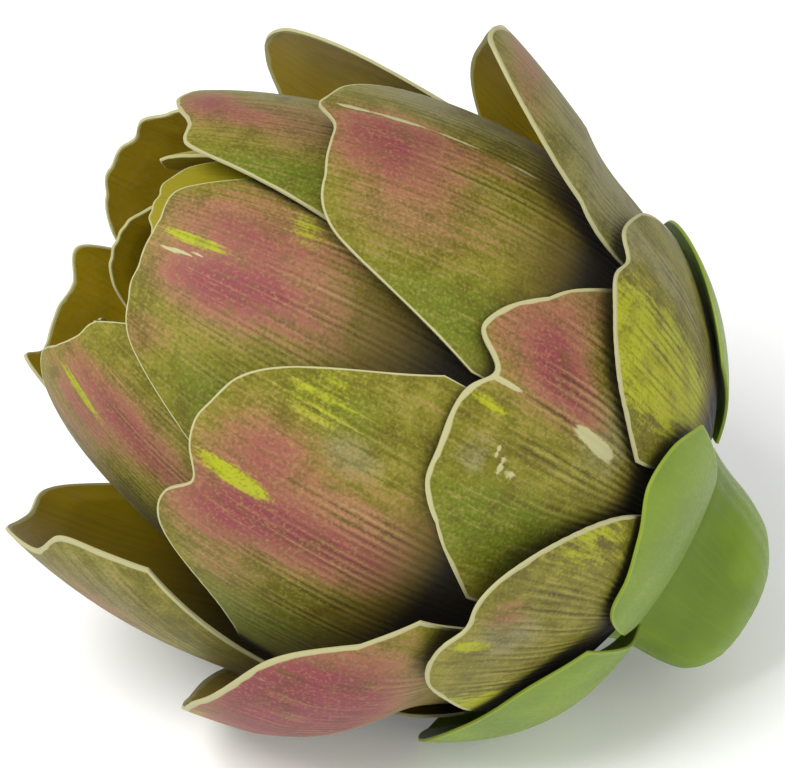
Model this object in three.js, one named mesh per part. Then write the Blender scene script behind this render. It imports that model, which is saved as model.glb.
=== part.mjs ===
// A globe artichoke, as picked, lying on its side on a few pressed-flat bracts.
// Every bract is a thin curved slab laid over one egg-shaped head; the short stem
// and the heart that carries the bracts grew as one body.
// Millimetres, +Z up. The origin is on the table, under the middle of the artichoke.
// The tip points to -X and upwards, the stem to +X, the front is -Y.
import * as THREE from 'three';
import { mergeVertices } from 'three/addons/utils/BufferGeometryUtils.js';

// Driving dimensions. The head is described along its own axis, from the stem
// junction (height 0) to the tip, with facing angles round that axis:
// 0 faces the table, 90 the front, 180 straight up and 270 the back.
const HEAD_RADIUS = 44;        // widest radius of the bare head shape
const WIDEST_HEIGHT = 44;      // how far above the stem junction the head is widest
const BASE_DEPTH = 40;         // from the widest place down to the base
const CROWN_HEIGHT = 72;       // from the widest place up to the crown
const BASE_FULLNESS = 0.75;    // below 1 the base is fuller than an ellipse
const TILT = 30.9;             // how far the tip is raised above the table, degrees
const BRACT_THICKNESS = 1.2;
const EDGE_THINNING = 0.35;    // share of the thickness lost at a bract's side edges
const FLAT_HEIGHT = -24.4;     // where the table presses the lowest bracts flat, along the tilt

// Resolution of one bract slab: steps across it and from foot to tip.
const STEPS_ACROSS = 9;
const STEPS_ALONG = 9;

// Side profile of the stem and heart: [height along the axis, radius].
const STEM_AND_HEART = [
  [-16.6, 0], [-16.2, 5], [-14.8, 9.2], [-12, 12.4], [-8, 14.3], [-4, 15.3], [0, 16.4], [4, 18.4],
  [8, 22], [12, 25], [16, 26], [20, 25.4], [24, 23.2], [27, 19.5], [29, 15], [30.2, 9],
  [30.6, 0],
];
const STEM_SWEEP = 4.5;        // how far the cut end leans towards the table side
const STEM_SIDES = 40;

// Outline of a bract's free edge at seven places from one side to the other,
// as shares of its length: 1 reaches the full length.
const ROUND_TIP = [0.60, 0.88, 0.98, 1, 0.98, 0.88, 0.60];
const BROAD_TIP = [0.70, 0.93, 0.99, 1, 0.99, 0.93, 0.70];
const POINTED_TIP = [0.52, 0.77, 0.93, 1, 0.93, 0.77, 0.52];

// One line or two for each bract. facing is its middle and half its half width,
// both in degrees round the head. from and to are where its foot and tip sit, in
// degrees up from the base pole. lift is its height above the bare head shape, and
// rise adds to that at five even places from foot to tip. boat is the share of the
// rise that the side edges don't take, which folds the bract like a boat. lean raises
// one side edge by so much and lowers the other. foot is the width at the foot against
// the full width, reached at fullAt of the length, and sway turns the tip round the
// head by so many degrees.
const SEPALS = [
  { name: 'sepal_front', facing: 125, half: 30, from: 16, to: 55, lift: 4.4, foot: 1,
    rise: [0, 0, 0, 0, 0], tip: [0.35, 0.68, 0.75, 0.85, 0.97, 0.92, 0.75] },
  { name: 'sepal_top', facing: 216, half: 38, from: 18, to: 61, lift: 3.8, foot: 0.8,
    rise: [0, 0, 0, 0.2, 0.4], tip: POINTED_TIP },
  { name: 'sepal_under', facing: 56, half: 39, from: 18, to: 58, lift: 4.9, foot: 0.85, lean: -1.2,
    rise: [0, 2, 1.9, 1.2, 0.5], tip: [0.70, 0.92, 1, 1, 0.93, 0.84, 0.64] },
  { name: 'sepal_back', facing: 303, half: 39, from: 17, to: 60, lift: 4.8, foot: 0.85, lean: 1.8,
    rise: [0, 2.2, 2.2, 1.2, 0.3], tip: ROUND_TIP },
];
const ROW_1 = [
  { name: 'row1_top', facing: 172, half: 34, from: 20, to: 81, lift: 2.1, boat: 0.2,
    rise: [0, 0, 0, 0.8, 2.4], tip: [0.60, 0.83, 0.95, 1, 0.96, 0.82, 0.57], notch: 0.05 },
  { name: 'row1_front', facing: 97, half: 36, from: 20, to: 78, lift: 2.4, boat: 0.2,
    rise: [0, 0, 0.5, 2, 5.5], tip: [0.52, 0.75, 0.98, 1, 0.96, 0.76, 0.44], notch: 0.03 },
  { name: 'row1_under', facing: 4, half: 36, from: 20, to: 65, lift: 2.4,
    rise: [0, 0, 0.3, 0.9, 1.8], tip: ROUND_TIP },
  { name: 'row1_back', facing: 270, half: 38, from: 20, to: 79, lift: 2.4,
    rise: [0, 0, 0, 0.5, 3], tip: ROUND_TIP, notch: 0.04 },
];
const ROW_2 = [
  { name: 'row2_back_top', facing: 206, half: 50, from: 28, to: 104, lift: 0.6, boat: 0.81,
    sway: 2.5, foot: 0.38, fullAt: 1, rise: [0, 0, 0.2, 3, 14.8],
    tip: [0.38, 0.81, 1, 0.97, 0.96, 0.92, 0.78] },
  { name: 'row2_front_top', facing: 135, half: 37, from: 28, to: 96, lift: 0.5,
    rise: [0, 0, 0, 0.3, 1], tip: [0.69, 0.925, 0.98, 0.985, 1, 0.88, 0.62],
    notch: 0.035, notchAt: 0.13 },
  { name: 'row2_front_under', facing: 48, half: 45, from: 28, to: 98, lift: 0.5, boat: 0.45,
    rise: [0, 0, 0.4, 7.2, 12.5], tip: [0.80, 0.92, 0.97, 1, 1, 0.965, 0.78] },
  { name: 'row2_back_under', facing: 314, half: 42, from: 28, to: 95, lift: 0.5, boat: 0.3,
    rise: [0, 0, 0.5, 2.5, 5], tip: BROAD_TIP, notch: 0.03 },
];
const ROW_3 = [
  { name: 'row3_top', facing: 179, half: 41.5, from: 36, to: 121, lift: -1.2, keel: 1.6, notchAt: 0.15,
    rise: [0, 0, 0, 0.8, 0.6], tip: [0.69, 0.94, 0.99, 0.99, 1, 0.92, 0.70] },
  { name: 'row3_front', facing: 90, half: 44.5, from: 36, to: 119, lift: -1.2,
    rise: [0, 0, 0, 1, 3], tip: [0.72, 0.80, 0.965, 0.99, 1.01, 0.96, 0.74], notch: 0.025 },
  { name: 'row3_under', facing: 2.5, half: 39, from: 36, to: 125.5, lift: -3.6, boat: 0.55,
    sway: 32, lean: 1.1, rise: [0, 0.5, 5.5, 10.5, 14],
    tip: [0.59, 0.91, 0.95, 0.98, 0.95, 0.95, 0.85] },
  { name: 'row3_back', facing: 258, half: 37, from: 36, to: 119, lift: -2.9, boat: 0.8,
    rise: [0, 0.3, 1.6, 6.5, 14], tip: [0.60, 0.84, 0.95, 1, 0.97, 0.85, 0.60] },
];
const ROW_4 = [
  { name: 'row4_top', facing: 198, half: 42, from: 42, to: 144, lift: -4.4,
    rise: [0, 0, 0, -0.3, 1], tip: [0.72, 0.96, 0.98, 1, 0.98, 0.91, 0.72] },
  { name: 'row4_front_top', facing: 128, half: 43, from: 42, to: 143.5, lift: -6.3,
    rise: [0, 0, 0, 0, 0], tip: [0.72, 0.925, 0.98, 0.995, 0.995, 0.98, 0.82] },
  { name: 'row4_front_under', facing: 65, half: 42, from: 44, to: 148, lift: -8.2, lean: -2,
    rise: [0, 0, 0, 0, 0.5], tip: [0.72, 0.93, 1, 1, 0.99, 0.98, 0.90] },
  { name: 'row4_under', facing: 332, half: 33, from: 44, to: 138, lift: -6.1, boat: 0.6,
    rise: [0, 0, 0, 2, 7.5], tip: BROAD_TIP },
  { name: 'row4_back', facing: 278, half: 42, from: 42, to: 138, lift: -8, boat: 0.6,
    rise: [0, 0, 0, 1.5, 8], tip: BROAD_TIP },
];
// The young leaves inside are alike, so each whorl is stepped round by a loop.
const WHORLS = [
  { name: 'inner_leaf', facings: [158, 230, 300, 12, 86], half: 38, from: 46, to: 150, lift: -11 },
  { name: 'core_leaf', facings: [195, 110, 20, 285], half: 44, from: 46, to: 153, lift: -19.6 },
  { name: 'bud_leaf', facings: [150, 270, 30], half: 58, from: 50, to: 155, lift: -27 },
];
const WHORL_STEP = 1.85;       // each leaf of a whorl lies this far inside the one before

// Plain colours of the solids.
const GREEN = { color: 0x6f8a24, roughness: 0.45, metalness: 0 };
const OLIVE = { color: 0x8c7a4a, roughness: 0.6, metalness: 0 };
const YOUNG = { color: 0x7a7a22, roughness: 0.6, metalness: 0 };

// Smooth value at x through even stations laid from start to end.
function throughStations(values, x, start, end) {
  const last = values.length - 1;
  const place = THREE.MathUtils.clamp((x - start) / (end - start), 0, 1) * last;
  const i = Math.min(Math.floor(place), last - 1);
  const before = i > 0 ? values[i - 1] : 2 * values[0] - values[1];
  const after = i < last - 1 ? values[i + 2] : 2 * values[last] - values[last - 1];
  const t = place - i;
  const a = values[i];
  const b = values[i + 1];
  return 0.5 * (2 * a + (b - before) * t + (2 * before - 5 * a + 4 * b - after) * t * t
    + (3 * a - before - 3 * b + after) * t * t * t);
}

// The head shape: radius and height of a place at polar angle up, raised by lift.
function headShape(up, lift) {
  const lower = up < Math.PI / 2;
  const swell = lower ? Math.sin(up) ** BASE_FULLNESS : Math.sin(up);
  const reach = (lower ? BASE_DEPTH : CROWN_HEIGHT) + lift;
  return { radius: (HEAD_RADIUS + lift) * swell, height: WIDEST_HEIGHT - reach * Math.cos(up) };
}

// From the head's own axis to the lying pose, before it is set on the table.
function lay(radius, around, height) {
  const down = radius * Math.cos(around);
  const front = radius * Math.sin(around);
  const tilt = THREE.MathUtils.degToRad(TILT);
  return new THREE.Vector3(
    -down * Math.sin(tilt) - height * Math.cos(tilt),
    -front,
    -down * Math.cos(tilt) + height * Math.sin(tilt),
  );
}

// A place on a bract: across -1 to 1, along 0 at the foot to 1 at the free edge,
// depth 0 on the outer face to 1 on the inner face.
function bractPoint(bract, across, along, depth) {
  const notchAt = bract.notchAt ?? 0;
  const notch = (bract.notch ?? 0) * Math.exp(-(((across - notchAt) / 0.1) ** 2));
  const share = along * (throughStations(bract.tip, across, -1, 1) - notch);
  const up = THREE.MathUtils.degToRad(THREE.MathUtils.lerp(bract.from, bract.to, share));
  const thickness = BRACT_THICKNESS * (1 - EDGE_THINNING * across ** 4);
  const folded = 1 - (bract.boat ?? 0) * across ** 2;
  const keel = (bract.keel ?? 0) * share ** 2 * (1 - Math.hypot(across - notchAt, 0.14));
  const lean = (bract.lean ?? 0) * across * Math.min(share * 3, 1);
  const lift = bract.lift + throughStations(bract.rise, share, 0, 1) * folded + keel + lean;
  const { radius, height } = headShape(up, lift - depth * thickness);
  const foot = bract.foot ?? 0.45;
  const width = foot + (1 - foot) * Math.min(share / (bract.fullAt ?? 0.5), 1);
  const swayed = bract.facing + (bract.sway ?? 0) * share ** 3;
  const around = THREE.MathUtils.degToRad(swayed + across * bract.half * width);
  const point = lay(radius, around, height);
  point.z = Math.max(point.z, FLAT_HEIGHT + depth * BRACT_THICKNESS);
  return point;
}

// Merges a geometry's shared corners, so that it is one closed skin.
function closedSkin(geometry) {
  geometry.deleteAttribute('normal');
  geometry.deleteAttribute('uv');
  const skin = mergeVertices(geometry, 1e-5);
  skin.computeVertexNormals();
  return skin;
}

// One bract as a closed slab: a flat box bent onto the head shape.
function bractMesh(bract, finish) {
  const slab = new THREE.BoxGeometry(2, 1, 1, STEPS_ACROSS, STEPS_ALONG, 1);
  const corners = slab.attributes.position;
  for (let i = 0; i < corners.count; i += 1) {
    const point = bractPoint(bract, corners.getX(i), corners.getY(i) + 0.5, 0.5 - corners.getZ(i));
    corners.setXYZ(i, point.x, point.y, point.z);
  }
  const mesh = new THREE.Mesh(closedSkin(slab), new THREE.MeshStandardMaterial(finish));
  mesh.name = bract.name;
  return mesh;
}

// The cut stem and the heart, turned in one piece and swept a little at the cut end.
function stemAndHeart() {
  const profile = STEM_AND_HEART.map(([height, radius]) => new THREE.Vector2(radius, height));
  const turned = new THREE.LatheGeometry(profile, STEM_SIDES);
  const corners = turned.attributes.position;
  for (let i = 0; i < corners.count; i += 1) {
    const height = corners.getY(i);
    const sweep = STEM_SWEEP * Math.min(height / STEM_AND_HEART[0][0], 1);
    const down = corners.getX(i) + Math.max(sweep, 0);
    const front = -corners.getZ(i);
    const point = lay(Math.hypot(down, front), Math.atan2(front, down), height);
    corners.setXYZ(i, point.x, point.y, point.z);
  }
  const mesh = new THREE.Mesh(closedSkin(turned), new THREE.MeshStandardMaterial(GREEN));
  mesh.name = 'stem_and_heart';
  return mesh;
}

// The leaves of one inner whorl, each a step deeper than the last.
function whorlMeshes(whorl) {
  return whorl.facings.map((facing, i) => bractMesh({
    ...whorl,
    name: `${whorl.name}_${i + 1}`,
    facing,
    lift: whorl.lift - i * WHORL_STEP,
    rise: [0, 0, 0, 0, 0],
    tip: BROAD_TIP,
  }, YOUNG));
}

// Moves the whole artichoke so that it stands on z = 0 with the origin under its middle.
function setOnTable(group) {
  const box = new THREE.Box3().setFromObject(group, true);
  const middle = box.getCenter(new THREE.Vector3());
  group.position.set(-middle.x, -middle.y, -box.min.z);
}

const artichoke = new THREE.Group();
artichoke.add(stemAndHeart());
artichoke.add(...SEPALS.map((bract) => bractMesh(bract, GREEN)));
artichoke.add(...[...ROW_1, ...ROW_2, ...ROW_3, ...ROW_4].map((bract) => bractMesh(bract, OLIVE)));
artichoke.add(...WHORLS.flatMap(whorlMeshes));
setOnTable(artichoke);

export default artichoke;
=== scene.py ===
import math
from dataclasses import dataclass

import bmesh
import bpy
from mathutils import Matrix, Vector, noise


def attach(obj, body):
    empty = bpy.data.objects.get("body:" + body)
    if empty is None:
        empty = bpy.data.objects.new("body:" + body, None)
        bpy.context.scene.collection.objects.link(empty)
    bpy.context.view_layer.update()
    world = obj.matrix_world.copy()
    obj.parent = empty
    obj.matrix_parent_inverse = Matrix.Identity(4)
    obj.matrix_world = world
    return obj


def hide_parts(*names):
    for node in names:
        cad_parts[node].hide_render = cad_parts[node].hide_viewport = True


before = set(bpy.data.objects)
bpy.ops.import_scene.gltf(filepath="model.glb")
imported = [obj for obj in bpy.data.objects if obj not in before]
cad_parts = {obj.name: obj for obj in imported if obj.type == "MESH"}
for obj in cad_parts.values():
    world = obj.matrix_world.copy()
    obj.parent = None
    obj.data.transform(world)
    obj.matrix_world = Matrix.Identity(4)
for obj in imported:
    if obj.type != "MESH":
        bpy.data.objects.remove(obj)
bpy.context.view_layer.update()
MM = 0.001


# ---------------------------------------------------------------------------
# Stem and heart. The short cut stem widens into the fleshy heart that every
# bract grows from: one body, turned from a side profile, waxy and green, with
# faint fibres along it and a rounded cut end that sweeps towards the table.
# ---------------------------------------------------------------------------

# The head's own frame: height along its axis from the stem junction, and a facing
# round it, where 0 faces the table, 90 the front, 180 straight up and 270 the back.
TILT = math.radians(30.9)
JUNCTION = Vector((41.68, 1.94, 24.40))
STEM_PROFILE = [
    (-17.8, 0), (-17.7, 2.8), (-17.4, 5.4), (-16.8, 7.8), (-15.7, 10), (-13, 12.7), (-8.5, 14.4),
    (-4, 15.3), (0, 16.4), (4, 18.4), (8, 22), (12, 25), (16, 26), (20, 25.4), (24, 23.2),
    (27, 19.5), (29, 15), (30.2, 9), (30.5, 4), (30.5, 0),
]
STEM_SWEEP = 4.5
CUT_END = STEM_PROFILE[0][0]
STEM_STEPS = 120
PROFILE_PARTS = 5
FIBRES = 26
FIBRE_HEIGHT = 0.07
SWELL_HEIGHT = 0.35
SWELL_LENGTH = 14
PALE_END = 5
PALENESS = 0.35
FIBRE_FADE = 6          # the fibres and swells die out over this radius round the axis


def lay(radius, around, height):
    """A place of the head's own frame, laid down on the table, in metres."""
    down = radius * math.cos(around)
    front = radius * math.sin(around)
    place = Vector((
        -down * math.sin(TILT) - height * math.cos(TILT),
        -front,
        -down * math.cos(TILT) + height * math.sin(TILT),
    ))
    return (place + JUNCTION) * MM


def through_stations(values, x, start, end):
    """Smooth value at x through even stations laid from start to end."""
    last = len(values) - 1
    place = min(max((x - start) / (end - start), 0), 1) * last
    i = min(int(place), last - 1)
    before = values[i - 1] if i > 0 else 2 * values[0] - values[1]
    after = values[i + 2] if i < last - 1 else 2 * values[last] - values[last - 1]
    a, b, t = values[i], values[i + 1], place - i
    curve = (2 * before - 5 * a + 4 * b - after) * t * t
    return 0.5 * (2 * a + (b - before) * t + curve + (3 * a - before - 3 * b + after) * t ** 3)


def node_of(tree, kind, **inputs):
    """A shader node with its input sockets set or linked by name."""
    made = tree.nodes.new(kind)
    for name, value in inputs.items():
        socket = made.inputs[name.replace("_", " ")]
        if isinstance(value, bpy.types.NodeSocket):
            tree.links.new(value, socket)
        else:
            socket.default_value = value
    return made


def sums(tree, operation, first, second):
    """One sum of two numbers."""
    made = tree.nodes.new("ShaderNodeMath")
    made.operation = operation
    for socket, value in zip(made.inputs, (first, second)):
        if isinstance(value, bpy.types.NodeSocket):
            tree.links.new(value, socket)
        else:
            socket.default_value = value
    return made.outputs[0]


def stepped(tree, value, low, high, to_low=0.0, to_high=1.0):
    """The value eased from low to high into to_low to to_high."""
    made = node_of(tree, "ShaderNodeMapRange", Value=value)
    made.interpolation_type = "SMOOTHSTEP"
    for name, number in (("From Min", low), ("From Max", high), ("To Min", to_low), ("To Max", to_high)):
        made.inputs[name].default_value = number
    return made.outputs[0]


def tinted(tree, share, under, over):
    """The colour over laid on the colour under by share."""
    made = tree.nodes.new("ShaderNodeMix")
    made.data_type = "RGBA"
    for index, value in ((0, share), (6, under), (7, over)):
        if isinstance(value, bpy.types.NodeSocket):
            tree.links.new(value, made.inputs[index])
        else:
            made.inputs[index].default_value = value
    return made.outputs[2]


def colour(red, green, blue):
    """A colour given as it looks on a screen, 0 to 255, as the shader reads it."""
    channels = [c / 255 for c in (red, green, blue)]
    linear = [c / 12.92 if c < 0.04045 else ((c + 0.055) / 1.055) ** 2.4 for c in channels]
    return (*linear, 1)


def speckle(tree, coordinates, scale, detail=3.0, stretch=(1, 1, 1)):
    """Noise from 0 to 1 on the given coordinates, drawn out by stretch."""
    mapped = node_of(tree, "ShaderNodeMapping", Vector=coordinates, Scale=stretch)
    made = node_of(tree, "ShaderNodeTexNoise", Vector=mapped.outputs[0], Scale=scale, Detail=detail)
    return made.outputs[0]


def crevice_shaded(tree, ground, reach, shade):
    """The ground given painted shade where a neighbour lies close over it."""
    open_air = node_of(tree, "ShaderNodeAmbientOcclusion", Distance=reach)
    open_air.samples = 6
    return tinted(tree, stepped(tree, open_air.outputs["AO"], 0.72, 0.22, 0, 0.95), ground, shade)


def new_material(name):
    """An empty material with its shader and its coordinates."""
    material = bpy.data.materials.new(name)
    material.use_nodes = True
    tree = material.node_tree
    shader = next(n for n in tree.nodes if n.type == "BSDF_PRINCIPLED")
    places = tree.nodes.new("ShaderNodeTexCoord")
    return material, tree, shader, places


def waxy_green(name, deep, bright, pale):
    """Smooth waxy skin: two greens in soft drifts, a fine grain, paler where bent thin."""
    material, tree, shader, places = new_material(name)
    drift = speckle(tree, places.outputs["Object"], 60, 2)
    grain = speckle(tree, places.outputs["Object"], 1500, 4)
    fibre = speckle(tree, places.outputs["UV"], 160, 3, (1, 0.08, 1))
    ground = tinted(tree, stepped(tree, drift, 0.35, 0.65), deep, bright)
    ground = tinted(tree, stepped(tree, fibre, 0.45, 0.8, 0, 0.25), ground, pale)
    edge = node_of(tree, "ShaderNodeAttribute")
    edge.attribute_name = "edge"
    ground = tinted(tree, stepped(tree, edge.outputs["Fac"], 0.05, 0.95, 0, 0.75), ground, pale)
    ground = tinted(tree, stepped(tree, grain, 0.35, 0.75, 0, 0.14), ground, bright)
    tree.links.new(ground, shader.inputs["Base Color"])
    tree.links.new(stepped(tree, grain, 0.3, 0.7, 0.38, 0.5), shader.inputs["Roughness"])
    shader.inputs["Specular IOR Level"].default_value = 0.32
    shader.inputs["Sheen Weight"].default_value = 0.03
    shader.inputs["Sheen Roughness"].default_value = 0.5
    shader.inputs["Sheen Tint"].default_value = colour(235, 240, 235)
    height = sums(tree, "ADD", sums(tree, "MULTIPLY", grain, 0.3), fibre)
    bump = node_of(tree, "ShaderNodeBump", Height=height, Strength=0.25, Distance=0.0001)
    tree.links.new(bump.outputs[0], shader.inputs["Normal"])
    return material


def finished(name, mesh, materials, node):
    """Makes the mesh a piece that stands for its CAD node and rides on the root body."""
    for material in materials:
        mesh.materials.append(material)
    for face in mesh.polygons:
        face.use_smooth = True
    piece = bpy.data.objects.new(name, mesh)
    bpy.context.scene.collection.objects.link(piece)
    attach(piece, "root")
    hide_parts(node)
    return piece


def turned_stem():
    """The profile spun round the axis, then swept at the cut end and laid down."""
    form = bmesh.new()
    count = (len(STEM_PROFILE) - 1) * PROFILE_PARTS
    heights = [height for height, _ in STEM_PROFILE]
    radii = [radius for _, radius in STEM_PROFILE]
    profile = []
    for i in range(count + 1):
        radius = max(through_stations(radii, i, 0, count), 0)
        profile.append(form.verts.new((radius, 0, through_stations(heights, i, 0, count))))
    edges = [form.edges.new(pair) for pair in zip(profile, profile[1:])]
    bmesh.ops.spin(form, geom=profile + edges, cent=(0, 0, 0), axis=(0, 0, 1),
                   angle=math.tau, steps=STEM_STEPS, use_merge=True)
    bmesh.ops.remove_doubles(form, verts=form.verts, dist=1e-4)
    edge = form.verts.layers.float.new("edge")
    grid = form.loops.layers.uv.new("skin")
    for vert in form.verts:
        around = math.atan2(vert.co.y, vert.co.x)
        radius = math.hypot(vert.co.x, vert.co.y)
        height = vert.co.z
        ends = min(radius / FIBRE_FADE, 1)
        fibre = FIBRE_HEIGHT * math.sin(FIBRES * around + 0.3 * math.sin(3 * around)) * ends
        place = Vector((math.cos(around), math.sin(around), height / SWELL_LENGTH))
        swell = SWELL_HEIGHT * noise.noise(place * 1.3)
        radius += (fibre + swell) * ends
        vert[edge] = max(0, 1 - (height - CUT_END) / PALE_END) * PALENESS
        for loop in vert.link_loops:
            loop[grid].uv = (around * 0.15, height * 0.01)
        sweep = STEM_SWEEP * min(max(height / CUT_END, 0), 1)
        down = radius * math.cos(around) + sweep
        front = radius * math.sin(around)
        vert.co = lay(math.hypot(down, front), math.atan2(front, down), height)
    bmesh.ops.recalc_face_normals(form, faces=form.faces)
    mesh = bpy.data.meshes.new("stem_and_heart_form")
    form.to_mesh(mesh)
    form.free()
    return mesh


stem_skin = waxy_green("stem_skin", colour(90, 116, 0), colour(108, 136, 0), colour(124, 142, 14))
finished("stem_and_heart_skin", turned_stem(), [stem_skin], "stem_and_heart")


# ---------------------------------------------------------------------------
# Young leaves. Three whorls of thin yellow-olive leaves fill the inside of the
# head, each leaf a thin sheet bent over the egg shape, lapping the next one.
# They show only at the open tip and through the gaps between the bracts.
# ---------------------------------------------------------------------------

# The bare head shape, in millimetres. Below 1 the base is fuller than an ellipse.
HEAD_RADIUS = 44
WIDEST_HEIGHT = 44
BASE_DEPTH = 40
CROWN_HEIGHT = 72
BASE_FULLNESS = 0.75
FLAT_HEIGHT = -24.4     # where the table presses the lowest sheets flat

# Every sheet is thinner at its free edge and reaches its thickness some way inside it.
SHEET_THICKNESS = 1.2
THIN_EDGE = 0.4
TAPER = 7
RIM_ROUNDING = 0.18

SOFT_CORNER = 0.35      # how softly the widening foot meets the full width
NOTCH_WIDTH = 0.1
KEEL_SOFTNESS = 0.14
BEND_RADIUS = 52        # turns a sheet's degrees from foot to tip into millimetres
RIBS_PER_DEGREE = 3.5
CROWDING = 1.5          # draws the grid's rows together towards the tip
SKIN_ACROSS = 0.008     # the skin map's width for each degree of a sheet
SKIN_ALONG = 0.8

ROUND_TIP = (0.60, 0.88, 0.98, 1, 0.98, 0.88, 0.60)
BROAD_TIP = (0.70, 0.93, 0.99, 1, 0.99, 0.93, 0.70)
POINTED_TIP = (0.52, 0.77, 0.93, 1, 0.93, 0.77, 0.52)


@dataclass
class Sheet:
    """A leaf or bract: a sheet bent over the head shape.

    facing is its middle and half its half width, degrees round the head. foot_up and
    tip_up are where its foot and tip sit, degrees up from the base pole. lift is its
    height above the bare head shape and rise adds to that at even places from foot to
    tip. boat is the share of the rise that the side edges don't take. lean raises one
    side edge and lowers the other. keel raises the line that runs to the tip at keel_at
    across. tip is the free edge's outline, as shares of the length, notch a dip in it at
    the keel and ruffle its unevenness. foot is the width at the foot against the full
    width, reached at full_at of the length, and sway turns the tip round the head. ribs
    is their height, and columns and rows are the faces of the grid that carries them.
    cut is the width of the pale rim in millimetres. A painted shade darkens the skin
    towards the foot, between the two shares of shade. Patches are (across, along, half
    width, half length, strength) of each tint.
    """

    name: str
    facing: float
    half: float
    foot_up: float
    tip_up: float
    lift: float
    rise: tuple = (0, 0, 0, 0, 0)
    tip: tuple = BROAD_TIP
    foot: float = 0.45
    full_at: float = 0.5
    boat: float = 0
    lean: float = 0
    sway: float = 0
    keel: float = 0
    notch: float = 0
    keel_at: float = 0
    ribs: float = 0
    ruffle: float = 0.004
    cut: float = 0.35
    shade: tuple = (0.74, 0.53)
    pink: tuple = ()
    lime: tuple = ()
    grey_and_sheen: tuple = ()
    tan: tuple = ()
    green: tuple = ()
    worn: tuple = ()
    columns: int = 60
    rows: int = 36

    def outline(self, across):
        """How far the free edge reaches at this place across, as a share of the length."""
        dip = self.notch * math.exp(-(((across - self.keel_at) / NOTCH_WIDTH) ** 2))
        ragged = self.ruffle * noise.noise(Vector((across * 5, self.facing, 0)))
        return through_stations(self.tip, across, -1, 1) - dip + ragged

    def width(self, share):
        """Width at this share of the length, against the full width."""
        spread = share / self.full_at
        corner = max(SOFT_CORNER - abs(spread - 1), 0)
        return self.foot + (1 - self.foot) * (min(spread, 1) - corner ** 2 / (4 * SOFT_CORNER))

    def rib_height(self, across, share):
        """Fine ribs run from foot to tip and fade towards the sides and the tip."""
        fade = max(0, 1 - (across - self.keel_at) ** 2 * 1.2)
        fade *= min(1, max(0, (1.02 - share) * 3))
        uneven = 0.7 + noise.noise(Vector((across * 14, share * 2, self.facing)))
        wander = 1.6 * noise.noise(Vector((across * 4, share * 1.5, self.facing)))
        return self.ribs * fade * uneven * math.sin(across * self.half * RIBS_PER_DEGREE + wander)

    def place(self, across, share):
        """The outer face's place, in metres."""
        up = math.radians(self.foot_up + (self.tip_up - self.foot_up) * share)
        folded = 1 - self.boat * across ** 2
        keel = self.keel * share ** 2 * (1 - math.hypot(across - self.keel_at, KEEL_SOFTNESS))
        lean = self.lean * across * min(share * 3, 1)
        lift = self.lift + through_stations(self.rise, share, 0, 1) * folded + keel + lean
        lift += self.rib_height(across, share)
        lower = up < math.pi / 2
        swell = math.sin(up) ** BASE_FULLNESS if lower else math.sin(up)
        reach = (BASE_DEPTH if lower else CROWN_HEIGHT) + lift
        swayed = self.facing + self.sway * share ** 3
        around = math.radians(swayed + across * self.half * self.width(share))
        place = lay((HEAD_RADIUS + lift) * swell, around, WIDEST_HEIGHT - reach * math.cos(up))
        place.z = max(place.z, (FLAT_HEIGHT + JUNCTION.z) * MM)
        return place

    def rim(self, across, share):
        """1 on the free edge, a half where the pale rim ends, and 0 inside it."""
        ragged = 1 + 0.35 * noise.noise(Vector((across * 16, share * 16, self.facing)))
        return max(0, 1 - self.inside(across, share) / (2 * self.cut * ragged))

    def inside(self, across, share):
        """How far this place lies inside the free edge, in millimetres."""
        half_width = math.radians(self.half) * HEAD_RADIUS * self.width(share)
        length = math.radians(self.tip_up - self.foot_up) * BEND_RADIUS
        slope = (self.outline(across + 0.01) - self.outline(across - 0.01)) / 0.02
        steep = math.hypot(1, slope * length / half_width)
        return min((1 - abs(across)) * half_width, (self.outline(across) - share) * length / steep)

    def painted_foot_shade(self, share):
        """How strong the painted shade is: 0 where the skin is open to the light, 1 deep under the next
        bracts.
        """
        start, end = self.shade
        return min(max((start - share) / (start - end), 0), 1)


TINTS = ("pink", "lime", "grey_and_sheen", "tan", "green", "worn")


def patched(patches, across, share):
    """How strongly the patches of one tint cover this place."""
    total = 0
    for at_across, at_share, wide, long, strength in patches:
        reach = ((across - at_across) / wide) ** 2 + ((share - at_share) / long) ** 2
        if reach < 9:
            total += strength * math.exp(-reach)
    return total


def bent_sheet(sheet):
    """A flat grid bent into the sheet's place, with its tints and its skin map."""
    form = bmesh.new()
    rim = form.verts.layers.float.new("edge")
    rib = form.verts.layers.float.new("rib")
    painted_foot_shade = form.verts.layers.float.new("painted_foot_shade")
    reach = form.verts.layers.float.new("reach")
    fullness = form.verts.layers.deform.verify()
    tints = {tint: form.verts.layers.float.new(tint) for tint in TINTS}
    skin = form.loops.layers.uv.new("skin")
    bmesh.ops.create_grid(form, x_segments=sheet.columns, y_segments=sheet.rows, size=1)
    for vert in form.verts:
        across = vert.co.x
        along = 1 - ((1 - vert.co.y) / 2) ** CROWDING
        share = along * sheet.outline(across)
        vert[rim] = sheet.rim(across, share)
        vert[rib] = sheet.rib_height(across, share) / max(sheet.ribs, 1e-6)
        vert[painted_foot_shade] = sheet.painted_foot_shade(share)
        vert[reach] = share
        vert[fullness][0] = min(1, THIN_EDGE + sheet.inside(across, share) / TAPER)
        for tint, layer in tints.items():
            vert[layer] = patched(getattr(sheet, tint), across, share)
        for loop in vert.link_loops:
            turned = across * sheet.half * SKIN_ACROSS
            loop[skin].uv = (turned + sheet.facing, share * SKIN_ALONG)
        vert.co = sheet.place(across, share)
    form.normal_update()
    mesh = bpy.data.meshes.new(sheet.name + "_form")
    form.to_mesh(mesh)
    form.free()
    return mesh


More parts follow.
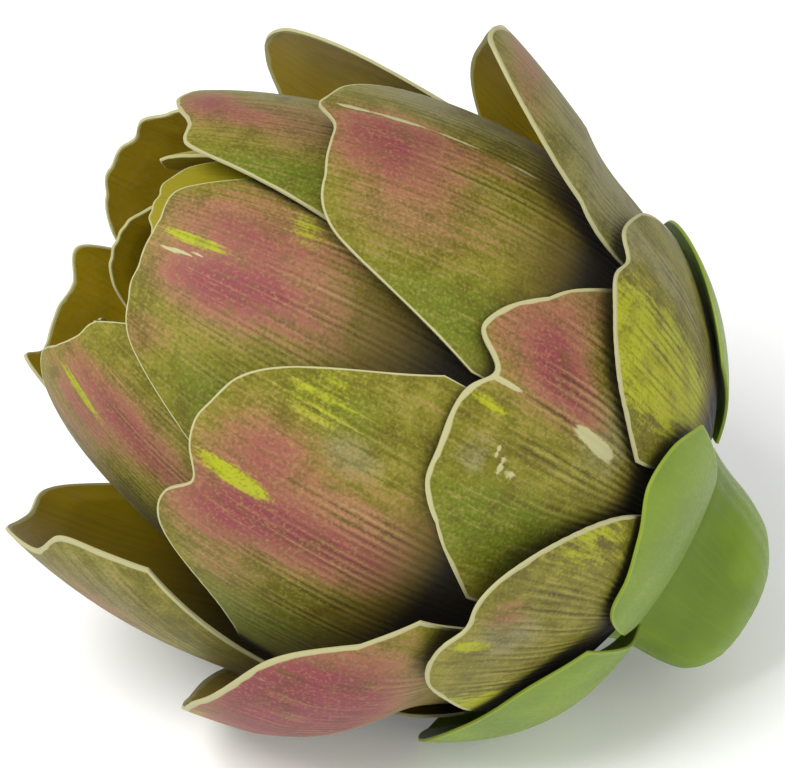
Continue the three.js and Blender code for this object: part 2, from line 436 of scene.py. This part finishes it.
def sheet_piece(sheet, skin, lining):
    """The bent sheet given its thickness inwards and a rounded rim."""
    piece = finished(sheet.name + "_skin", bent_sheet(sheet), [skin, lining], sheet.name)
    piece.vertex_groups.new(name="fullness")
    thick = piece.modifiers.new("thickness", "SOLIDIFY")
    thick.thickness = SHEET_THICKNESS * MM
    thick.offset = -1
    thick.material_offset = 1
    thick.use_even_offset = False
    thick.vertex_group = "fullness"
    round_rim = piece.modifiers.new("round_rim", "BEVEL")
    round_rim.width = RIM_ROUNDING * MM
    round_rim.segments = 2
    round_rim.limit_method = "ANGLE"
    round_rim.angle_limit = math.radians(50)
    return piece


def young_skin(name, ground_colour, warm_colour, rim_colour):
    """Thin smooth olive tissue with faint veins and a pale rim, and painted shade towards the foot."""
    material, tree, shader, places = new_material(name)
    veins = speckle(tree, places.outputs["UV"], 110, 3, (1, 0.06, 1))
    drift = speckle(tree, places.outputs["Object"], 45, 2)
    grain = speckle(tree, places.outputs["Object"], 1200, 3)
    ground = tinted(tree, stepped(tree, drift, 0.3, 0.7), ground_colour, warm_colour)
    ground = tinted(tree, stepped(tree, veins, 0.5, 0.8, 0, 0.3), ground, colour(70, 58, 8))
    ground = tinted(tree, stepped(tree, grain, 0.4, 0.8, 0, 0.06), ground, rim_colour)
    edge = node_of(tree, "ShaderNodeAttribute")
    edge.attribute_name = "edge"
    ground = tinted(tree, stepped(tree, edge.outputs["Fac"], 0.4, 0.7), ground, rim_colour)
    reach = node_of(tree, "ShaderNodeAttribute")
    reach.attribute_name = "reach"
    # Painted shade: the tissue darkens to near black towards the foot, deep inside the head.
    depth_shade = stepped(tree, reach.outputs["Fac"], 0.88, 0.6, 0, 0.96)
    ground = tinted(tree, depth_shade, ground, colour(22, 19, 6))
    tree.links.new(ground, shader.inputs["Base Color"])
    tree.links.new(stepped(tree, grain, 0.3, 0.7, 0.45, 0.6), shader.inputs["Roughness"])
    shader.inputs["Specular IOR Level"].default_value = 0.2
    bump = node_of(tree, "ShaderNodeBump", Height=veins, Strength=0.3, Distance=0.0002)
    tree.links.new(bump.outputs[0], shader.inputs["Normal"])
    return material


lining = young_skin("lining", colour(142, 120, 6), colour(118, 98, 4), colour(160, 156, 104))
young = young_skin("young_leaf", colour(160, 154, 30), colour(136, 124, 16), colour(170, 166, 112))

WHORLS = (
    ("inner_leaf", (158, 230, 300, 12, 86), 38, 46, 150, -11),
    ("core_leaf", (195, 110, 20, 285), 44, 46, 153, -19.6),
    ("bud_leaf", (150, 270, 30), 58, 50, 155, -27),
)
WHORL_STEP = 1.85

for whorl, facings, half, foot_up, tip_up, lift in WHORLS:
    for i, facing in enumerate(facings):
        leaf = Sheet(f"{whorl}_{i + 1}", facing, half, foot_up, tip_up, lift - i * WHORL_STEP,
                     ribs=0.05, ruffle=0.012)
        sheet_piece(leaf, young, lining)


# ---------------------------------------------------------------------------
# Bracts. Four rows of broad fleshy bracts cover the head. Their outer skin is
# ribbed from foot to tip, olive to green, flushed pink round the keel with a
# lime streak beside it, rubbed cream along the ridges and on the cut rim.
# ---------------------------------------------------------------------------

CREAM = colour(172, 168, 122)
OLIVE = colour(106, 103, 8)
LIGHT_OLIVE = colour(118, 115, 20)
GREEN = colour(94, 108, 8)
TAN = colour(138, 98, 66)
GREY_AND_SHEEN = colour(130, 126, 84)
PINK = colour(148, 94, 72)
MAGENTA = colour(128, 44, 62)
LIME = colour(156, 160, 6)
BROWN_SHADE = colour(76, 58, 12)
DEEP_SHADE = colour(15, 13, 8)
CREVICE_SHADE = colour(20, 16, 6)
CREVICE_REACH = 0.007


def bract_skin():
    """The outer skin: every tint is laid on by its patches, broken up by noise, with painted shade over
    it towards the foot and in the crevices.
    """
    material, tree, shader, places = new_material("bract_skin")

    def layer(name):
        made = tree.nodes.new("ShaderNodeAttribute")
        made.attribute_name = name
        return made.outputs["Fac"]

    streaks = speckle(tree, places.outputs["UV"], 130, 4, (1, 0.07, 1))
    blotch = speckle(tree, places.outputs["Object"], 260, 4)
    grain = speckle(tree, places.outputs["Object"], 2000, 4)
    drift = speckle(tree, places.outputs["Object"], 70, 2)
    fibrous = sums(tree, "MULTIPLY", streaks, 0.55)
    breakup = sums(tree, "ADD", fibrous, sums(tree, "MULTIPLY", blotch, 0.25))
    breakup = sums(tree, "ADD", breakup, sums(tree, "MULTIPLY", grain, 0.2))
    breakup = sums(tree, "SUBTRACT", breakup, 0.5)

    def cover(name, most, low, high, ragged):
        torn = sums(tree, "ADD", layer(name), sums(tree, "MULTIPLY", breakup, ragged))
        return stepped(tree, torn, low, high, 0, most)

    ground = tinted(tree, stepped(tree, drift, 0.35, 0.65), OLIVE, LIGHT_OLIVE)
    ground = tinted(tree, stepped(tree, blotch, 0.48, 0.66, 0, 0.5), ground, colour(142, 136, 44))
    ground = tinted(tree, cover("green", 0.9, 0.15, 0.85, 2.0), ground, GREEN)
    ground = tinted(tree, cover("tan", 0.75, 0.15, 0.85, 2.0), ground, TAN)
    # Greyish patches: partly the skin's own tone, partly painted sheen.
    ground = tinted(tree, cover("grey_and_sheen", 0.7, 0.15, 0.85, 2.0), ground, GREY_AND_SHEEN)
    ground = tinted(tree, cover("pink", 0.95, 0.0, 0.75, 2.0), ground, PINK)
    ground = tinted(tree, cover("pink", 0.85, 0.55, 1.25, 2.8), ground, MAGENTA)
    ground = tinted(tree, cover("lime", 1, 0.3, 0.8, 2.2), ground, LIME)
    ground = tinted(tree, stepped(tree, blotch, 0.5, 0.33, 0, 0.35), ground, colour(80, 60, 12))
    # Painted highlight on the rib crests and painted shade in the grooves between them.
    ground = tinted(tree, stepped(tree, layer("rib"), 0.1, 1, 0, 0.26), ground, colour(184, 172, 96))
    ground = tinted(tree, stepped(tree, layer("rib"), -0.1, -1, 0, 0.58), ground, colour(48, 32, 8))
    ground = tinted(tree, stepped(tree, streaks, 0.53, 0.7, 0, 0.2), ground, colour(170, 160, 84))
    ground = tinted(tree, stepped(tree, streaks, 0.52, 0.34, 0, 0.28), ground, colour(62, 42, 10))
    ground = tinted(tree, stepped(tree, grain, 0.5, 0.7, 0, 0.3), ground, colour(164, 154, 84))
    ground = tinted(tree, stepped(tree, grain, 0.5, 0.3, 0, 0.32), ground, colour(58, 42, 12))
    ground = tinted(tree, cover("worn", 1, 0.35, 0.6, 1.6), ground, CREAM)
    # Painted shade: brown, then near black, towards each bract's foot under the next bracts.
    ground = tinted(tree, stepped(tree, layer("painted_foot_shade"), 0, 0.55, 0, 0.75), ground, BROWN_SHADE)
    ground = tinted(tree, stepped(tree, layer("painted_foot_shade"), 0.4, 1, 0, 0.95), ground, DEEP_SHADE)
    ground = tinted(tree, stepped(tree, layer("edge"), 0.4, 0.6), ground, CREAM)
    # Painted shade in the crevices, where a neighbour lies close over the skin.
    ground = crevice_shaded(tree, ground, CREVICE_REACH, CREVICE_SHADE)
    tree.links.new(ground, shader.inputs["Base Color"])
    tree.links.new(stepped(tree, grain, 0.3, 0.7, 0.5, 0.66), shader.inputs["Roughness"])
    shader.inputs["Specular IOR Level"].default_value = 0.25
    shader.inputs["Sheen Weight"].default_value = 0.07
    shader.inputs["Sheen Roughness"].default_value = 0.4
    shader.inputs["Sheen Tint"].default_value = colour(232, 226, 232)
    height = sums(tree, "ADD", sums(tree, "MULTIPLY", grain, 0.5), streaks)
    bump = node_of(tree, "ShaderNodeBump", Height=height, Strength=0.5, Distance=0.0002)
    tree.links.new(bump.outputs[0], shader.inputs["Normal"])
    return material


bract = bract_skin()


# The tints that the hidden bracts carry, placed about the keel as on the ones in view.
USUAL_TINTS = {
    "pink": ((0.3, 0.9, 0.18, 0.1, 0.9), (-0.1, 0.88, 0.18, 0.1, 0.8), (0.02, 0.72, 0.1, 0.16, 0.7)),
    "lime": ((0.13, 0.93, 0.04, 0.06, 1.2),),
    "green": ((-0.75, 0.75, 0.3, 0.3, 0.9), (0.85, 0.75, 0.35, 0.3, 0.9)),
    "tan": ((-0.4, 0.85, 0.3, 0.15, 0.6), (0.55, 0.85, 0.2, 0.15, 0.5)),
    "grey_and_sheen": ((0.35, 0.7, 0.25, 0.15, 0.5),),
}

RIBBED = {"ribs": 0.06, "columns": 280, "rows": 56}

ROW_4 = (
    Sheet("row4_top", 198, 42, 42, 144, -4.4, (0, 0, 0, -0.3, 1),
          (0.72, 0.96, 0.98, 1, 0.98, 0.91, 0.72), cut=0.5, **RIBBED,
          pink=((0, 0.95, 0.3, 0.05, 0.9), (-0.2, 0.88, 0.2, 0.06, 0.6)),
          tan=((-0.2, 0.82, 0.4, 0.1, 0.8),),
          green=((-0.75, 0.82, 0.2, 0.15, 0.9),),
          grey_and_sheen=((0.3, 0.85, 0.3, 0.08, 0.7),)),
    Sheet("row4_front_top", 128, 43, 42, 143.5, -6.3,
          tip=(0.72, 0.925, 0.98, 0.995, 0.995, 0.98, 0.82), cut=0.22, **RIBBED,
          lime=((0.28, 0.925, 0.042, 0.05, 1.3), (0.62, 0.78, 0.12, 0.035, 0.65)),
          worn=((0.14, 0.955, 0.012, 0.02, 1), (0.16, 0.935, 0.01, 0.02, 1),
                (0.19, 0.91, 0.012, 0.012, 0.9)),
          pink=((0.02, 0.88, 0.22, 0.1, 1.0), (0.47, 0.85, 0.22, 0.14, 0.95),
                (0.14, 0.77, 0.18, 0.11, 0.7)),
          green=((-0.1, 0.84, 0.09, 0.04, 0.7), (-0.6, 0.74, 0.3, 0.15, 0.8)),
          tan=((-0.5, 0.93, 0.2, 0.05, 0.8), (0.72, 0.85, 0.15, 0.12, 0.6),
               (0.1, 0.72, 0.3, 0.08, 0.5)),
          grey_and_sheen=((0.35, 0.74, 0.15, 0.08, 0.5),)),
    Sheet("row4_front_under", 65, 42, 44, 148, -8.2, (0, 0, 0, 0, 0.5),
          (0.72, 0.93, 1, 1, 0.99, 0.98, 0.90), lean=-2, cut=0.22, **RIBBED,
          lime=((-0.05, 0.915, 0.042, 0.05, 1.3),),
          pink=((-0.22, 0.89, 0.16, 0.09, 0.8), (0.17, 0.88, 0.2, 0.12, 0.9),
                (0.1, 0.76, 0.16, 0.1, 0.6)),
          tan=((-0.55, 0.87, 0.2, 0.1, 0.9), (0.4, 0.85, 0.15, 0.1, 0.5)),
          grey_and_sheen=((-0.6, 0.8, 0.25, 0.08, 0.4),)),
    Sheet("row4_under", 332, 33, 44, 138, -6.1, (0, 0, 0, 2, 7.5),
          (0.76, 0.97, 0.95, 0.95, 0.95, 0.98, 0.78), boat=0.6, **RIBBED, **USUAL_TINTS),
    Sheet("row4_back", 278, 42, 42, 138, -8, (0, 0, 0, 1.5, 8), boat=0.6, ruffle=0.02, **RIBBED,
          **USUAL_TINTS),
)
ROW_3 = (
    Sheet("row3_top", 179, 41.5, 36, 121, -1.2, (0, 0, 0, 0.8, 0.6),
          (0.69, 0.94, 0.99, 0.99, 1, 0.92, 0.70),
          keel=1.6, keel_at=0.15, notch=-0.02, cut=0.25, **RIBBED,
          worn=((0.19, 0.97, 0.02, 0.025, 1.1), (0.19, 0.9, 0.018, 0.035, 0.9),
                (0.19, 0.81, 0.018, 0.035, 0.8), (0.18, 0.71, 0.018, 0.04, 0.65)),
          pink=((0, 0.93, 0.24, 0.09, 0.85), (-0.2, 0.86, 0.2, 0.1, 0.55), (0.1, 0.82, 0.12, 0.12, 0.5)),
          tan=((-0.45, 0.87, 0.2, 0.1, 0.8), (-0.3, 0.72, 0.2, 0.1, 0.4)),
          green=((-0.08, 0.8, 0.06, 0.08, 0.8), (-0.8, 0.65, 0.25, 0.25, 0.9)),
          grey_and_sheen=((0.5, 0.82, 0.22, 0.14, 0.9),)),
    Sheet("row3_front", 90, 44.5, 36, 119, -1.2, (0, 0, 0, 1, 3),
          (0.72, 0.80, 0.965, 0.99, 1.01, 0.96, 0.74), notch=0.025, cut=0.22, **RIBBED,
          lime=((0.14, 0.925, 0.045, 0.06, 1.4), (0.7, 0.88, 0.28, 0.08, 0.5)),
          pink=((-0.06, 0.91, 0.21, 0.1, 0.95), (0.33, 0.9, 0.18, 0.08, 0.8),
                (0.05, 0.78, 0.15, 0.13, 0.85), (0.2, 0.7, 0.24, 0.1, 0.55)),
          green=((-0.65, 0.72, 0.28, 0.2, 0.9), (0.65, 0.85, 0.2, 0.1, 0.6)),
          grey_and_sheen=((0.5, 0.8, 0.1, 0.05, 0.9),),
          tan=((-0.35, 0.85, 0.15, 0.08, 0.6), (0.3, 0.78, 0.12, 0.1, 0.6))),
    Sheet("row3_under", 2.5, 39, 36, 125.5, -3.6, (0, 0.5, 5.5, 10.5, 14),
          (0.59, 0.91, 0.95, 0.98, 0.95, 0.95, 0.85), boat=0.55, lean=1.1, sway=32, cut=0.5, **RIBBED,
          lime=((0.1, 0.93, 0.15, 0.04, 0.7), (0.6, 0.6, 0.25, 0.2, 0.6)),
          pink=((0.3, 0.82, 0.35, 0.1, 0.5),),
          grey_and_sheen=((0.6, 0.85, 0.25, 0.1, 0.7),),
          green=((-0.3, 0.7, 0.5, 0.25, 0.6),)),
    Sheet("row3_back", 258, 37, 36, 119, -2.9, (0, 0.3, 1.6, 6.5, 15),
          (0.62, 0.88, 1.0, 0.985, 0.89, 0.80, 0.58), boat=0.8, cut=0.5, **RIBBED,
          grey_and_sheen=((-0.5, 0.75, 0.6, 0.3, 1.0),),
          pink=((0.2, 0.88, 0.3, 0.08, 0.6),),
          green=((0.6, 0.7, 0.3, 0.25, 0.9),)),
)
ROW_2 = (
    Sheet("row2_back_top", 206, 50, 28, 104, 0.6, (0, 0, 0.2, 3, 14.8),
          (0.38, 0.81, 1, 0.97, 0.96, 0.92, 0.78), boat=0.81, sway=2.5, foot=0.38, full_at=1,
          cut=0.4, shade=(0.45, 0.28), **RIBBED,
          grey_and_sheen=((-0.3, 0.6, 0.6, 0.35, 1.0),),
          pink=((-0.2, 0.94, 0.35, 0.04, 0.5),),
          green=((0.2, 0.5, 0.7, 0.35, 0.8),)),
    Sheet("row2_front_top", 135, 37, 28, 96, 0.5, (0, 0, 0, 0.3, 1),
          (0.69, 0.925, 0.98, 0.985, 1, 0.88, 0.62), notch=0.045, keel_at=0.13,
          cut=0.55, shade=(0.45, 0.28), **RIBBED,
          worn=((0.09, 0.93, 0.015, 0.06, 1.1), (0.05, 0.54, 0.05, 0.06, 1.1),
                (0.07, 0.62, 0.04, 0.05, 0.9), (-0.28, 0.83, 0.07, 0.012, 0.8),
                (-0.22, 0.86, 0.06, 0.009, 0.7), (-0.3, 0.79, 0.04, 0.02, 0.6)),
          lime=((-0.04, 0.93, 0.03, 0.045, 1.0),),
          pink=((0.4, 0.86, 0.27, 0.14, 1.0), (0.24, 0.75, 0.15, 0.12, 0.75),
                (0.14, 0.64, 0.12, 0.1, 0.5)),
          tan=((0.68, 0.77, 0.18, 0.09, 0.8),),
          green=((-0.6, 0.72, 0.3, 0.3, 1.0),),
          grey_and_sheen=((-0.3, 0.91, 0.1, 0.04, 0.8), (0.15, 0.55, 0.25, 0.13, 0.9))),
    Sheet("row2_front_under", 48, 45, 28, 98, 0.5, (0, 0, 0.4, 7.2, 12.5),
          (0.80, 0.92, 0.97, 1, 1, 0.965, 0.78), boat=0.45, cut=0.5, shade=(0.45, 0.28), **RIBBED,
          pink=((0.45, 0.89, 0.32, 0.15, 1.5), (0.3, 0.75, 0.4, 0.15, 0.95), (0.0, 0.86, 0.4, 0.12, 0.9)),
          tan=((0.2, 0.6, 0.4, 0.18, 0.8),),
          lime=((0.0, 0.98, 0.12, 0.02, 0.5), (-0.7, 0.8, 0.2, 0.2, 0.4))),
    Sheet("row2_back_under", 314, 42, 28, 95, 0.5, (0, 0, 0.5, 2.5, 5), boat=0.3, notch=0.03,
          shade=(0.45, 0.28), **RIBBED, **USUAL_TINTS),
)
ROW_1 = (
    Sheet("row1_top", 172, 34, 20, 81, 2.1, (0, 0, 0, 0.8, 2.4), (0.60, 0.83, 0.95, 1, 0.96, 0.82, 0.57),
          boat=0.2, notch=0.05, cut=0.5, shade=(0.42, 0.24), **RIBBED,
          lime=((-0.4, 0.62, 0.35, 0.45, 1.3),),
          grey_and_sheen=((0.2, 0.75, 0.12, 0.25, 1.1), (0.1, 0.95, 0.3, 0.04, 0.7))),
    Sheet("row1_front", 97, 36, 20, 78, 2.4, (0, 0, 0.5, 2, 5.5), (0.52, 0.75, 0.98, 1, 0.96, 0.76, 0.44),
          boat=0.2, notch=0.03, cut=0.55, shade=(0.42, 0.24), **RIBBED,
          lime=((-0.1, 0.89, 0.04, 0.08, 1.1), (-0.7, 0.65, 0.3, 0.35, 0.7), (0.7, 0.75, 0.3, 0.3, 0.7)),
          grey_and_sheen=((-0.02, 0.78, 0.17, 0.15, 1.0),),
          pink=((0.12, 0.85, 0.1, 0.08, 0.5),)),
    Sheet("row1_under", 4, 36, 20, 65, 2.4, (0, 0, 0.3, 0.9, 1.8), ROUND_TIP, shade=(0.42, 0.24),
          **RIBBED, **USUAL_TINTS),
    Sheet("row1_back", 270, 38, 20, 79, 2.4, (0, 0, 0, 0.5, 3), ROUND_TIP, notch=0.04, shade=(0.42, 0.24),
          **RIBBED, **USUAL_TINTS),
)

for row in (ROW_4, ROW_3, ROW_2, ROW_1):
    for sheet in row:
        sheet_piece(sheet, bract, lining)


# ---------------------------------------------------------------------------
# Sepals. Four smooth waxy green scales wrap the base where the head meets the
# stem. They are smoother and plainer than the bracts, with paler edges.
# ---------------------------------------------------------------------------

SEPALS = (
    Sheet("sepal_front", 125, 30, 16, 55, 4.4, foot=1, tip=(0.35, 0.68, 0.75, 0.85, 0.97, 0.92, 0.75)),
    Sheet("sepal_top", 216, 38, 18, 61, 3.8, (0, 0, 0, 0.2, 0.4), POINTED_TIP, foot=0.8),
    Sheet("sepal_under", 56, 39, 18, 58, 4.9, (0, 2, 1.9, 1.2, 0.5), (0.70, 0.92, 1, 1, 0.93, 0.84, 0.64),
          foot=0.85, lean=-1.2),
    Sheet("sepal_back", 303, 39, 17, 60, 4.8, (0, 2.2, 2.2, 1.2, 0.3), ROUND_TIP, foot=0.85, lean=1.8),
)
sepal_skin = waxy_green("sepal_skin", colour(94, 120, 0), colour(112, 138, 2), colour(138, 154, 50))

for sheet in SEPALS:
    sheet_piece(sheet, sepal_skin, sepal_skin)


# ---------------------------------------------------------------------------
# The table, the light and the camera: a plain pale floor, a broad soft lamp above,
# a weaker one at the stem side and a pale surround.
# ---------------------------------------------------------------------------

FLOOR_SIZE = 6
bpy.ops.mesh.primitive_plane_add(size=FLOOR_SIZE, location=(0, 0, 0))
floor = bpy.context.object
floor.name = "floor"
floor_paint = bpy.data.materials.new("floor_paint")
floor_paint.use_nodes = True
floor_shader = floor_paint.node_tree.nodes["Principled BSDF"]
floor_shader.inputs["Base Color"].default_value = (0.93, 0.93, 0.93, 1)
floor_shader.inputs["Roughness"].default_value = 0.9
floor_shader.inputs["Emission Color"].default_value = (1, 1, 1, 1)
floor_shader.inputs["Emission Strength"].default_value = 0.12
floor.data.materials.append(floor_paint)

world = bpy.data.worlds.new("surround")
world.use_nodes = True
world.node_tree.nodes["Background"].inputs["Color"].default_value = (1, 1, 1, 1)
world.node_tree.nodes["Background"].inputs["Strength"].default_value = 0.6
bpy.context.scene.world = world


def soft_light(name, place, size, power):
    """A square lamp that faces the artichoke."""
    lamp = bpy.data.lights.new(name, "AREA")
    lamp.size = size
    lamp.energy = power
    holder = bpy.data.objects.new(name, lamp)
    holder.location = place
    holder.rotation_euler = (-Vector(place)).to_track_quat("-Z", "Y").to_euler()
    bpy.context.scene.collection.objects.link(holder)


soft_light("key_light", (-0.35, -0.45, 0.9), 0.45, 9)
soft_light("fill_light", (0.8, -0.5, 0.4), 0.8, 2)

AZIMUTH = math.radians(6.3)
ELEVATION = math.radians(38)
DISTANCE = 0.9
SEEN_WIDTH = 0.11775
AIM = (JUNCTION + Vector((-41.02, 0, 26.88))) * MM
back = Vector((
    math.sin(AZIMUTH) * math.cos(ELEVATION),
    -math.cos(AZIMUTH) * math.cos(ELEVATION),
    math.sin(ELEVATION),
))
eye = bpy.data.cameras.new("eye")
eye.sensor_width = 36
eye.lens = eye.sensor_width * DISTANCE / SEEN_WIDTH
camera = bpy.data.objects.new("camera", eye)
camera.location = AIM + back * DISTANCE
camera.rotation_euler = back.to_track_quat("Z", "Y").to_euler()
bpy.context.scene.collection.objects.link(camera)
bpy.context.scene.camera = camera
bpy.context.scene.view_settings.view_transform = "Standard"
